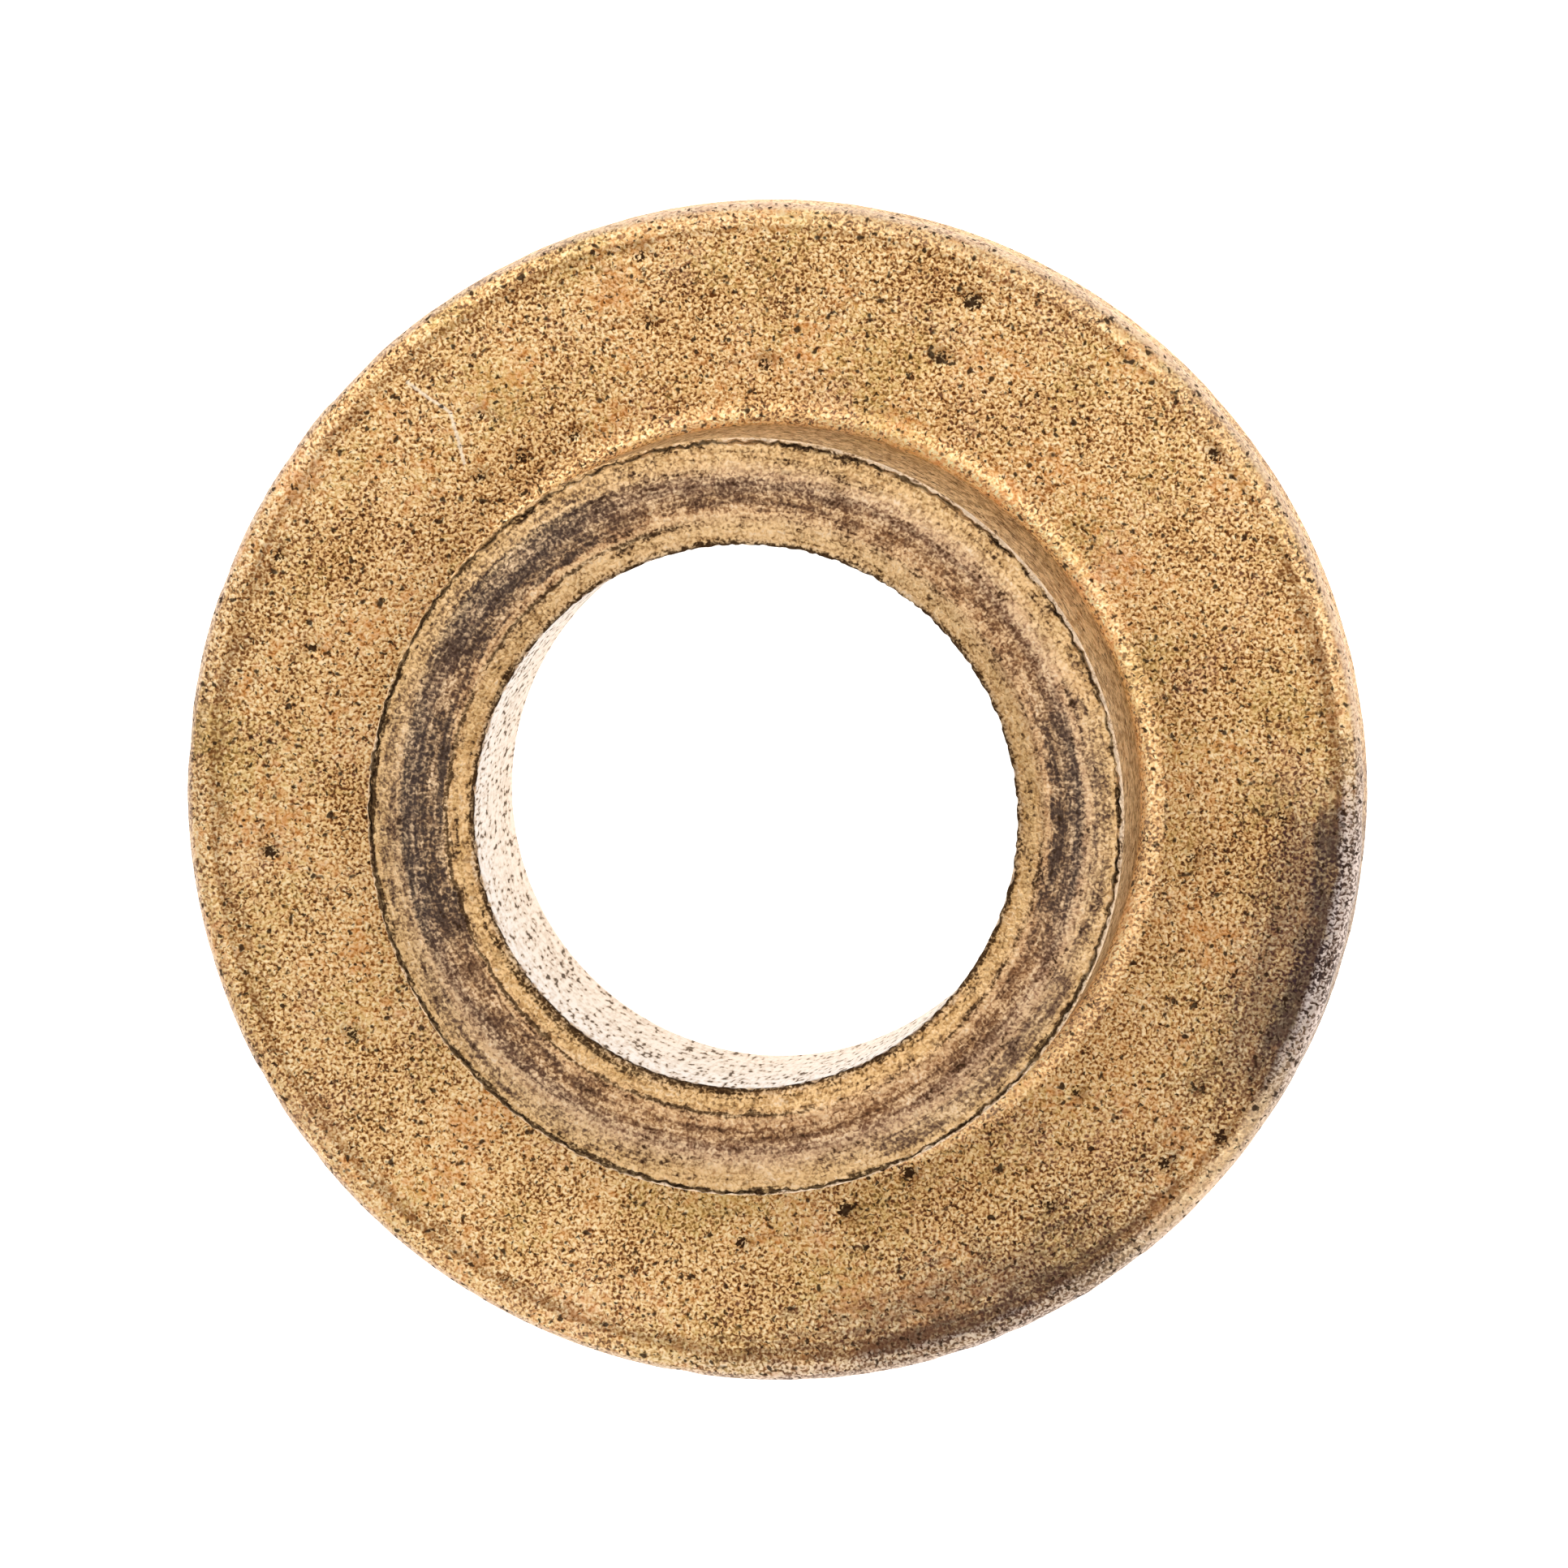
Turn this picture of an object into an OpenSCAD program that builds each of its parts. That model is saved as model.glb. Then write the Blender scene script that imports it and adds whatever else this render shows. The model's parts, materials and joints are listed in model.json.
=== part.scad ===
// Flanged sleeve bushing of sintered bronze, pressed and sized as one piece.
// It stands on the back of its flange at Z = 0, and its bore runs along +Z.

/* [Bore] */
// Diameter of the running bore
bore_d = 10; // [4:0.1:30]
// Width of the sized bevel round the bore at the sleeve end
bore_bevel_w = 0.56; // [0.2:0.02:1]
// Drop of that bevel below the end land
bore_bevel_h = 0.18; // [0.05:0.01:0.5]
// Chamfer of the bore at the back of the flange
bore_chamfer = 0.25; // [0.1:0.05:0.6]

/* [Sleeve] */
// Wall between the bore and the outside of the sleeve
wall_t = 2; // [1.5:0.1:6]
// Length of the sleeve in front of the flange
sleeve_l = 5; // [1.5:0.1:30]
// Width of the sized bevel round the outside of the sleeve end
end_bevel_w = 0.8; // [0.3:0.02:1.2]
// Drop of that bevel below the end land
end_bevel_h = 0.12; // [0.05:0.01:0.5]
// Chamfer of the sharp edge outside that bevel
end_edge = 0.1; // [0.05:0.01:0.25]

/* [Flange] */
// Reach of the flange past the outside of the sleeve
flange_w = 4; // [1.5:0.1:12]
// Thickness of the flange
flange_t = 1.5; // [0.8:0.1:6]
// Radius of the rolled front edge of the rim
rim_front_r = 0.35; // [0.1:0.05:0.8]
// Radius of the back edge of the rim
rim_back_r = 0.2; // [0.1:0.05:0.6]
// Radius of the fillet between the flange and the sleeve
root_r = 0.3; // [0.1:0.05:0.8]

/* [Hidden] */
bronze = "#C89E6B";
$fn = 96;
bore_r = bore_d / 2;
sleeve_r = bore_r + wall_t;
flange_r = sleeve_r + flange_w;
end_z = flange_t + sleeve_l;
// How far a corner shape runs on past its arc, into the metal or out into the air
corner_over = 0.4;
// Half of the section with every straight face, from the bore at the back round to the sleeve end
section_outline = [
    [bore_r, bore_chamfer],
    [bore_r + bore_chamfer, 0],
    [flange_r, 0],
    [flange_r, flange_t],
    [sleeve_r, flange_t],
    [sleeve_r, end_z - end_bevel_h - end_edge],
    [sleeve_r - end_edge, end_z - end_bevel_h],
    [sleeve_r - end_bevel_w, end_z],
    [bore_r + bore_bevel_w, end_z],
    [bore_r, end_z - bore_bevel_h]
];

// The corner left between a square and the arc inside it, with the arc's centre at the origin
module corner(r) {
    difference() {
        square(r + corner_over);
        circle(r);
    }
}

// Half of the section with its rolled rim and its filleted root
module half_section() {
    difference() {
        union() {
            polygon(section_outline);
            translate([sleeve_r + root_r, flange_t + root_r])
                rotate(180)
                    corner(root_r);
        }
        translate([flange_r - rim_front_r, flange_t - rim_front_r])
            corner(rim_front_r);
        translate([flange_r - rim_back_r, rim_back_r])
            mirror([0, 1])
                corner(rim_back_r);
    }
}

module bushing() {
    color(bronze)
        rotate_extrude()
            half_section();
}

bushing();
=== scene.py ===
# Flanged sleeve bushing of sintered bronze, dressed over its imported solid
import json
import math
from types import SimpleNamespace

import bpy
from mathutils import Matrix, Vector


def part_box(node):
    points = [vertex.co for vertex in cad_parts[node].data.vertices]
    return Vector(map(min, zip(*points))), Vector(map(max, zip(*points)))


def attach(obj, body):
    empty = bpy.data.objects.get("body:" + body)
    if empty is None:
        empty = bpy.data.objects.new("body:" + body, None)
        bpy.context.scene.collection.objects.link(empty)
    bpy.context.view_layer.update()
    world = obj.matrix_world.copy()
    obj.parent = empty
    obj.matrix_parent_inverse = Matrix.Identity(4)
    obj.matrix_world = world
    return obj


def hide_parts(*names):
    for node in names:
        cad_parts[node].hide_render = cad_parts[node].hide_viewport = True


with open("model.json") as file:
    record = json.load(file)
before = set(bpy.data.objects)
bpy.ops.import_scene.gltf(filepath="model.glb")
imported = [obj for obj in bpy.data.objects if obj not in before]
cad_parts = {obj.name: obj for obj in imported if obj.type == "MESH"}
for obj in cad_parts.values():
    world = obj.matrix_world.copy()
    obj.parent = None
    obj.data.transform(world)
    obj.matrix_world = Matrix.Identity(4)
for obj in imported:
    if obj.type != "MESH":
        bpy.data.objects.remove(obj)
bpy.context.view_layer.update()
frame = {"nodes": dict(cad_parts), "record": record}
mm = 0.001  # the script's sizes are in millimetres, Blender's in metres
print("frame loaded:", ", ".join(frame["nodes"]))


def put(tree, kind, wires=(), out=0, stops=(), **settings):  # adds one node with its settings and links
    node = tree.nodes.new(kind)
    for name, value in settings.items():
        setattr(node, name, value)
    for spot, colour in stops[2:]:
        node.color_ramp.elements.new(spot)
    for element, (spot, colour) in zip(node.color_ramp.elements if stops else (), stops):
        element.position = spot
        element.color = colour
    pairs = wires.items() if isinstance(wires, dict) else enumerate(wires)
    for key, value in pairs:
        if isinstance(value, bpy.types.NodeSocket):
            tree.links.new(value, node.inputs[key])
        elif value is not None:
            node.inputs[key].default_value = value
    return node.outputs[out] if node.outputs else node


def linear(code):  # sRGB hex to the linear RGBA that the sockets take
    parts = [int(code[i:i + 2], 16) / 255 for i in (1, 3, 5)]
    return [c / 12.92 if c <= 0.04045 else ((c + 0.055) / 1.055) ** 2.4 for c in parts] + [1.0]


even = {"interpolation_type": "SMOOTHSTEP"}  # settings of a Map Range with soft ends
colourMix = {"out": 2, "data_type": "RGBA"}  # settings of a Mix of two colours
noiseMid = 0.5  # the mean of a noise


def polar(angle, radius, height):  # degrees and millimetres to a point in millimetres
    turn = math.radians(angle)
    return Vector((radius * math.cos(turn), radius * math.sin(turn), height))


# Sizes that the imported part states
mounts = {m["name"]: m for m in frame["record"]["mounts"]}
low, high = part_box("bushing")
part = {
    "boreR": mounts["bore"]["dims"]["r_mm"],
    "sleeveR": mounts["sleeve"]["dims"]["r_mm"],
    "flangeR": min(high.x, high.y, -low.x, -low.y) / mm,
    "flangeT": mounts["seat"]["pos_m"][2] / mm,
    "endZ": high.z / mm,
}

bushing = {
    "boreBevelW": 0.56, "boreBevelH": 0.18, "boreEdgeR": 0.05,  # sized bevel round the bore
    "boreChamfer": 0.25,  # at the back of the flange
    "endBevelW": 0.8, "endBevelH": 0.12, "landR": 0.09,  # sized bevel round the sleeve end
    "lipW": 0.06, "lipH": 0.07, "lipOver": 0.09, "lipEdgeR": 0.018,  # burr left by the sizing die
    "creviceW": 0.075, "creviceH": 0.08,  # between the burr and the bevel
    "rimFrontR": 0.35, "rimBackR": 0.2, "rootR": 0.3,
    "grooveIn": 0.48, "grooveW": 0.2, "grooveH": 0.008,  # faint line that the punch left inside the rim
    "tearH": 0.25,  # how far down the bore its edge is torn
    "segments": 504, "filletSteps": 5, "sharpAngle": 30,
    "fineRow": 0.055, "boreRow": 0.11, "faceRow": 0.088, "wallRow": 0.2, "hiddenRow": 0.45,
    "seed": 7,
}

# Relief that wear gives the revolved shape: sizes in millimetres, and waves in each millimetre
relief = {
    "wander": 0.32, "wanderWaves": 6.0, "wanderMid": 0.45,
    "wanderReach": (0.02, 0.09), "wanderLevel": (-0.3, -0.2),  # levels are from the sleeve end
    "lean": 0.06, "leanTo": 225,  # the crevice lies a little further out on this bearing
    "fill": 0.064, "fillWaves": 1.4, "fillRange": (0.42, 0.6),
    "tear": 0.07, "tearWaves": 5.0, "tearRange": (0.48, 0.68),
    "tearReach": (0.02, 0.12), "tearLevel": (-0.42, -0.2),
    "dent": 0.05, "dentWaves": 0.9, "dentRange": (0.5, 0.75), "dentReach": (0.0, 0.2),
    "ripple": 0.012, "rippleWaves": 3.2,
    "pit": 0.13, "backClear": (0.05, 0.3),
}

# Pits that show singly on the flange: angle, radius and width
flangePits = [
    (68, 9.9, 0.3), (91, 8.0, 0.26), (104, 10.3, 0.3), (69, 8.7, 0.26), (38, 10.4, 0.24),
    (187, 9.5, 0.26), (210, 9.1, 0.26), (280, 7.9, 0.3), (358, 9.5, 0.24), (323, 10.5, 0.3),
    (317, 10.0, 0.24), (316, 7.9, 0.22), (290, 7.5, 0.2), (304, 9.2, 0.22), (352, 7.9, 0.2),
    (266, 8.4, 0.22), (267, 9.2, 0.2), (105, 9.0, 0.22), (133, 8.0, 0.2), (128, 8.9, 0.2),
    (163, 9.0, 0.22), (155, 10.2, 0.2), (119, 7.6, 0.2), (127, 7.8, 0.2),
]


def sectionOutline(s):  # corners of half the section: place, edge radius, row width after it, and any mark
    boreR, sleeveR, flangeR, flangeT, endZ = part.values()
    bevelZ = endZ - s["endBevelH"]
    lipZ = bevelZ - s["lipH"]
    edgeZ = endZ - s["boreBevelH"]
    wallR = sleeveR - s["lipOver"]
    creviceR = sleeveR - s["lipW"] - s["creviceW"] / 2
    slope = s["endBevelH"] / (s["endBevelW"] - s["lipW"])
    innerR = creviceR - s["creviceW"] / 2
    grooveR = flangeR - s["grooveIn"]
    return [
        (boreR, s["boreChamfer"], 0, s["boreRow"]),
        (boreR + s["boreChamfer"], 0, 0, s["hiddenRow"]),
        (flangeR, 0, s["rimBackR"], s["wallRow"]),
        (flangeR, flangeT, s["rimFrontR"], s["faceRow"]),
        (grooveR + s["grooveW"] / 2, flangeT, 0, s["fineRow"]),
        (grooveR, flangeT - s["grooveH"], 0, s["fineRow"]),
        (grooveR - s["grooveW"] / 2, flangeT, 0, s["faceRow"]),
        (wallR, flangeT, s["rootR"], s["wallRow"]),
        (wallR, lipZ - s["lipOver"], s["lipEdgeR"], s["fineRow"]),
        (sleeveR, lipZ, s["lipEdgeR"], s["fineRow"], "lip"),
        (sleeveR - s["lipW"], bevelZ, s["lipEdgeR"], s["fineRow"], "lip"),
        (creviceR, bevelZ - s["creviceH"], 0, s["fineRow"], "crevice"),
        (innerR, bevelZ + slope * s["creviceW"], s["lipEdgeR"], s["fineRow"]),
        (sleeveR - s["endBevelW"], endZ, s["landR"], s["fineRow"]),
        (boreR + s["boreBevelW"], endZ, s["landR"], s["fineRow"]),
        (boreR, edgeZ, s["boreEdgeR"], s["boreRow"]),
        (boreR, edgeZ - s["tearH"], 0, s["hiddenRow"]),
    ]


def revolvedSection(s, finish):  # Geometry Nodes tree: outline, fillets, rows, revolve, then the relief
    tree = bpy.data.node_groups.new("revolvedSection", "GeometryNodeTree")
    tree.interface.new_socket("Geometry", in_out="OUTPUT", socket_type="NodeSocketGeometry")
    tree.interface.new_socket("Geometry", in_out="INPUT", socket_type="NodeSocketGeometry")
    sizes = [
        ("Bore radius", part["boreR"] * mm), ("Segments", s["segments"]), ("Seed", s["seed"]),
        ("Crevice radius", part["sleeveR"] - s["lipW"] - s["creviceW"] / 2),
        ("Crevice wander", relief["wander"] * mm), ("Crevice fill", relief["fill"] * mm),
        ("Sleeve end", part["endZ"]), ("Rim radius", part["flangeR"] - s["rimFrontR"]),
        ("Rim dents", relief["dent"]), ("Face ripple", relief["ripple"]), ("Pit depth", relief["pit"]),
        ("Bore edge", part["boreR"]), ("Bore tears", relief["tear"] * mm),
        ("Sharp angle", math.radians(s["sharpAngle"])),
    ]
    keys = {}
    for name, value in sizes:
        kind = "NodeSocketInt" if isinstance(value, int) else "NodeSocketFloat"
        socket = tree.interface.new_socket(name, in_out="INPUT", socket_type=kind)
        keys[name] = (socket.identifier, value)
    given = tree.nodes.new("NodeGroupInput").outputs

    # The pits are loose points beside the outline
    pitW = put(tree, "GeometryNodeInputNamedAttribute", {"Name": "pitWidth"}, data_type="FLOAT")
    isPit = put(tree, "FunctionNodeCompare", [pitW, 0.0], operation="GREATER_THAN", data_type="FLOAT")
    parted = put(tree, "GeometryNodeSeparateGeometry", [given["Geometry"], isPit], domain="POINT").node

    # Outline to a curve in the plane that the sweep takes: outwards from the bore, and down
    outline = put(tree, "GeometryNodeMeshToCurve", [parted.outputs["Inverted"]])
    place = put(tree, "GeometryNodeInputPosition")
    axes = put(tree, "ShaderNodeSeparateXYZ", [place]).node.outputs
    outwards = put(tree, "ShaderNodeMath", [axes["X"], given["Bore radius"]], operation="SUBTRACT")
    down = put(tree, "ShaderNodeMath", [axes["Z"], -1.0], operation="MULTIPLY")
    flat = put(tree, "ShaderNodeCombineXYZ", [outwards, down, 0.0])
    outline = put(tree, "GeometryNodeSetPosition", {"Geometry": outline, "Position": flat})
    edgeR = put(tree, "GeometryNodeInputNamedAttribute", {"Name": "edgeRadius"}, data_type="FLOAT")
    outline = put(tree, "GeometryNodeFilletCurve", {"Curve": outline, "Count": s["filletSteps"],
                                                    "Limit Radius": True, "Radius": edgeR}, mode="POLY")
    index = put(tree, "GeometryNodeInputIndex")
    following = put(tree, "GeometryNodeOffsetPointInCurve", [index, 1], out="Point Index")
    ahead = put(tree, "GeometryNodeFieldAtIndex", {"Index": following, "Value": place},
                data_type="FLOAT_VECTOR", domain="POINT")
    stretch = put(tree, "ShaderNodeVectorMath", [place, ahead], out="Value", operation="DISTANCE")
    row = put(tree, "GeometryNodeInputNamedAttribute", {"Name": "rowWidth"}, data_type="FLOAT")
    cuts = put(tree, "ShaderNodeMath", [stretch, row], operation="DIVIDE")
    outline = put(tree, "GeometryNodeSubdivideCurve", [outline, cuts])

    # Revolve
    ring = put(tree, "GeometryNodeCurvePrimitiveCircle", {"Resolution": given["Segments"],
                                                          "Radius": given["Bore radius"]}, mode="RADIUS")
    ring = put(tree, "GeometryNodeSetCurveNormal", [ring], mode="Z_UP")
    body = put(tree, "GeometryNodeCurveToMesh", {"Curve": ring, "Profile Curve": outline})
    body = put(tree, "GeometryNodeFlipFaces", [body])  # the sweep leaves the faces turned inwards

    # Places in millimetres, for the relief
    spot = put(tree, "ShaderNodeVectorMath", {0: place, "Scale": 1 / mm}, operation="SCALE")
    axes = put(tree, "ShaderNodeSeparateXYZ", [spot]).node.outputs
    around = put(tree, "ShaderNodeCombineXYZ", [axes["X"], axes["Y"], 0.0])
    radius = put(tree, "ShaderNodeVectorMath", [around], out="Value", operation="LENGTH")
    outwards = put(tree, "ShaderNodeVectorMath", [around], operation="NORMALIZE")

    # The crevice wanders from side to side
    off = put(tree, "ShaderNodeMath", [radius, given["Crevice radius"]], operation="SUBTRACT")
    near = put(tree, "ShaderNodeMath", [off], operation="ABSOLUTE")
    near = put(tree, "ShaderNodeMapRange", [near, *relief["wanderReach"], 1.0, 0.0], **even)
    level = put(tree, "ShaderNodeMath", [axes["Z"], given["Sleeve end"]], operation="SUBTRACT")
    top = put(tree, "ShaderNodeMapRange", [level, *relief["wanderLevel"], 0.0, 1.0])
    near = put(tree, "ShaderNodeMath", [near, top], operation="MULTIPLY")
    wander = put(tree, "ShaderNodeTexNoise", {"Vector": around, "W": given["Seed"], "Detail": 3.0,
                                              "Scale": relief["wanderWaves"]}, noise_dimensions="4D")
    wander = put(tree, "ShaderNodeMath", [wander, relief["wanderMid"]], operation="SUBTRACT")
    lean = put(tree, "ShaderNodeVectorMath", [outwards, polar(relief["leanTo"], 1, 0)], out="Value",
               operation="DOT_PRODUCT")
    wander = put(tree, "ShaderNodeMath", [lean, relief["lean"], wander], operation="MULTIPLY_ADD")
    wander = put(tree, "ShaderNodeMath", [wander, near], operation="MULTIPLY")
    wander = put(tree, "ShaderNodeMath", [wander, given["Crevice wander"]], operation="MULTIPLY")
    wander = put(tree, "ShaderNodeVectorMath", {0: outwards, "Scale": wander}, operation="SCALE")

    # It runs shallow in places
    crevice = put(tree, "GeometryNodeInputNamedAttribute", {"Name": "crevice"}, data_type="FLOAT")
    shallow = put(tree, "ShaderNodeTexNoise", {"Vector": around, "W": given["Seed"], "Detail": 2.0,
                                               "Scale": relief["fillWaves"]}, noise_dimensions="4D")
    shallow = put(tree, "ShaderNodeMapRange", [shallow, *relief["fillRange"], 0.0, 1.0])
    shallow = put(tree, "ShaderNodeMath", [shallow, crevice], operation="MULTIPLY")
    shallow = put(tree, "ShaderNodeMath", [shallow, given["Crevice fill"]], operation="MULTIPLY")
    filled = put(tree, "ShaderNodeCombineXYZ", [0.0, 0.0, shallow])

    # The bore's edge is torn
    tear = put(tree, "ShaderNodeTexNoise", {"Vector": around, "W": given["Seed"], "Detail": 2.0,
                                            "Scale": relief["tearWaves"]}, noise_dimensions="4D")
    tear = put(tree, "ShaderNodeMapRange", [tear, *relief["tearRange"], 0.0, 1.0])
    edge = put(tree, "ShaderNodeMath", [radius, given["Bore edge"]], operation="SUBTRACT")
    edge = put(tree, "ShaderNodeMapRange", [edge, *relief["tearReach"], 1.0, 0.0], **even)
    top = put(tree, "ShaderNodeMapRange", [level, *relief["tearLevel"], 0.0, 1.0])
    tear = put(tree, "ShaderNodeMath", [tear, edge], operation="MULTIPLY")
    tear = put(tree, "ShaderNodeMath", [tear, top], operation="MULTIPLY")
    tear = put(tree, "ShaderNodeMath", [tear, given["Bore tears"]], operation="MULTIPLY")
    torn = put(tree, "ShaderNodeVectorMath", {0: outwards, "Scale": tear}, operation="SCALE")

    # Dents in the rim, a ripple all over and the single pits
    dents = put(tree, "ShaderNodeTexNoise", {"Vector": spot, "W": given["Seed"], "Detail": 4.0,
                                             "Scale": relief["dentWaves"]}, noise_dimensions="4D")
    dents = put(tree, "ShaderNodeMapRange", [dents, *relief["dentRange"], 0.0, 1.0])
    rim = put(tree, "ShaderNodeMath", [radius, given["Rim radius"]], operation="SUBTRACT")
    rim = put(tree, "ShaderNodeMapRange", [rim, *relief["dentReach"], 0.0, 1.0])
    dents = put(tree, "ShaderNodeMath", [dents, rim], operation="MULTIPLY")
    dents = put(tree, "ShaderNodeMath", [dents, given["Rim dents"]], operation="MULTIPLY")
    ripple = put(tree, "ShaderNodeTexNoise", {"Vector": spot, "W": given["Seed"], "Detail": 3.0,
                                              "Scale": relief["rippleWaves"]}, noise_dimensions="4D")
    ripple = put(tree, "ShaderNodeMath", [ripple, given["Face ripple"]], operation="MULTIPLY")
    pitPoints = put(tree, "GeometryNodeProximity", {"Geometry": parted.outputs["Selection"]}, out="Distance",
                    target_element="POINTS")
    nearest = put(tree, "GeometryNodeSampleNearest", [parted.outputs["Selection"]], domain="POINT")
    width = put(tree, "GeometryNodeSampleIndex", {"Geometry": parted.outputs["Selection"], "Value": pitW,
                                                  "Index": nearest}, data_type="FLOAT", domain="POINT")
    reach = put(tree, "ShaderNodeMath", [pitPoints, width], operation="DIVIDE")
    pit = put(tree, "ShaderNodeMapRange", [reach, 0.0, 1.0, 1.0, 0.0])
    pitDepth = put(tree, "ShaderNodeMath", [pit, given["Pit depth"]], operation="MULTIPLY")

    depth = put(tree, "ShaderNodeMath", [dents, ripple], operation="ADD")
    depth = put(tree, "ShaderNodeMath", [depth, pitDepth], operation="ADD")
    clear = put(tree, "ShaderNodeMapRange", [axes["Z"], *relief["backClear"], 0.0, 1.0])  # flat back
    depth = put(tree, "ShaderNodeMath", [depth, clear], operation="MULTIPLY")
    depth = put(tree, "ShaderNodeMath", [depth, -mm], operation="MULTIPLY")
    normal = put(tree, "GeometryNodeInputNormal")
    sunk = put(tree, "ShaderNodeVectorMath", {0: normal, "Scale": depth}, operation="SCALE")
    sunk = put(tree, "ShaderNodeVectorMath", [sunk, wander], operation="ADD")
    sunk = put(tree, "ShaderNodeVectorMath", [sunk, torn], operation="ADD")
    sunk = put(tree, "ShaderNodeVectorMath", [sunk, filled], operation="ADD")
    angle = put(tree, "GeometryNodeInputMeshEdgeAngle", out="Unsigned Angle")
    sharp = put(tree, "FunctionNodeCompare", [angle, given["Sharp angle"]], operation="GREATER_THAN",
                data_type="FLOAT")
    body = put(tree, "GeometryNodeSetShadeSmooth", {"Geometry": body, "Shade Smooth": True}, domain="FACE")
    body = put(tree, "GeometryNodeSetShadeSmooth", {"Geometry": body, "Selection": sharp,
                                                    "Shade Smooth": False}, domain="EDGE")
    body = put(tree, "GeometryNodeStoreNamedAttribute", {"Geometry": body, "Name": "pit", "Value": pit},
               data_type="FLOAT", domain="POINT")
    body = put(tree, "GeometryNodeSetPosition", {"Geometry": body, "Offset": sunk})
    body = put(tree, "GeometryNodeRealizeInstances", [body])
    body = put(tree, "GeometryNodeSetMaterial", {"Geometry": body, "Material": finish})
    tree.links.new(body, tree.nodes.new("NodeGroupOutput").inputs[0])
    return tree, keys


bearingSteps = 90  # points on the curve of a stain round the axis


def stainRound(at, stains):  # how stained each bearing is, from 0 to 1, as one curve round the axis
    curve = put(at.tree, "ShaderNodeFloatCurve", {"Value": at.bearing})
    points = curve.node.mapping.curves[0].points
    for step in range(bearingSteps + 1):
        share = step / bearingSteps
        here = 0.0
        for bearing, spread, strength in stains:
            edge = math.cos(math.radians(spread))
            aim = math.cos(math.radians(360 * share - 180 - bearing))
            climb = max(0.0, (aim - edge) / (1 - edge))
            here = max(here, strength * climb * climb * (3 - 2 * climb))
        ends = {0: points[0], bearingSteps: points[-1]}
        point = ends[step] if step in ends else points.new(share, here)
        point.location = (share, here)
        point.handle_type = "VECTOR"
    curve.node.mapping.update()
    return curve


def between(tree, value, start, full, fade, end):  # 1 from full to fade, down to 0 at start and end
    rise = put(tree, "ShaderNodeMapRange", [value, start, full, 0.0, 1.0], **even)
    fall = put(tree, "ShaderNodeMapRange", [value, fade, end, 1.0, 0.0], **even)
    return put(tree, "ShaderNodeMath", [rise, fall], operation="MULTIPLY")


def stained(at, colour, cover, field, fray, stain):  # a stain that covers its share of the field, in blots
    soft, most = fray
    depth = put(at.tree, "ShaderNodeMath", [cover, field], operation="ADD")
    share = put(at.tree, "ShaderNodeMapRange", [depth, 1.0 - soft, 1.0 + soft, 0.0, most], **even)
    return put(at.tree, "ShaderNodeMix", {0: share, 6: colour, 7: stain}, **colourMix)


grain = {
    # Pattern sizes in millimetres
    "stroke": 0.06, "pore": 0.1, "cloud": 0.4, "patch": 1.7, "tint": 0.13,
    "streakAcross": 0.12, "streakAlong": 1.2,
    "strokeBend": 0.64, "poreBend": 0.5, "cloudRough": 0.62, "streakRough": 0.6,
    # Shares of cloud, streak and grain in the blots of a stain
    "blotCloud": 1.1, "blotStreak": 1.4, "blotStroke": -0.9, "blotShift": 0.3,
    # From the joints between the grains to their rubbed tops
    "stops": [(0.25, "#623817"), (0.39, "#B48450"), (0.49, "#D5AC74"), (0.585, "#E1BE87"),
              (0.76, "#ECD3A9")],
    "patchSway": 0.36, "cloudSway": 0.13,
    # Tints and the most of each
    "tints": [("Red", "#C27A34", 0.6), ("Green", "#BEA25A", 0.42), ("Blue", "#D8B3A4", 0.12)],
    "tintPatch": 1.6, "tintRange": (1.38, 1.8),
    "poreColour": "#2C190C", "poreOpen": 0.28, "poreRim": 0.39, "poreClump": -0.25,
    "vug": 0.19, "vugOpen": 0.25, "vugRim": 0.34,  # the few wide pores
}


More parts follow.
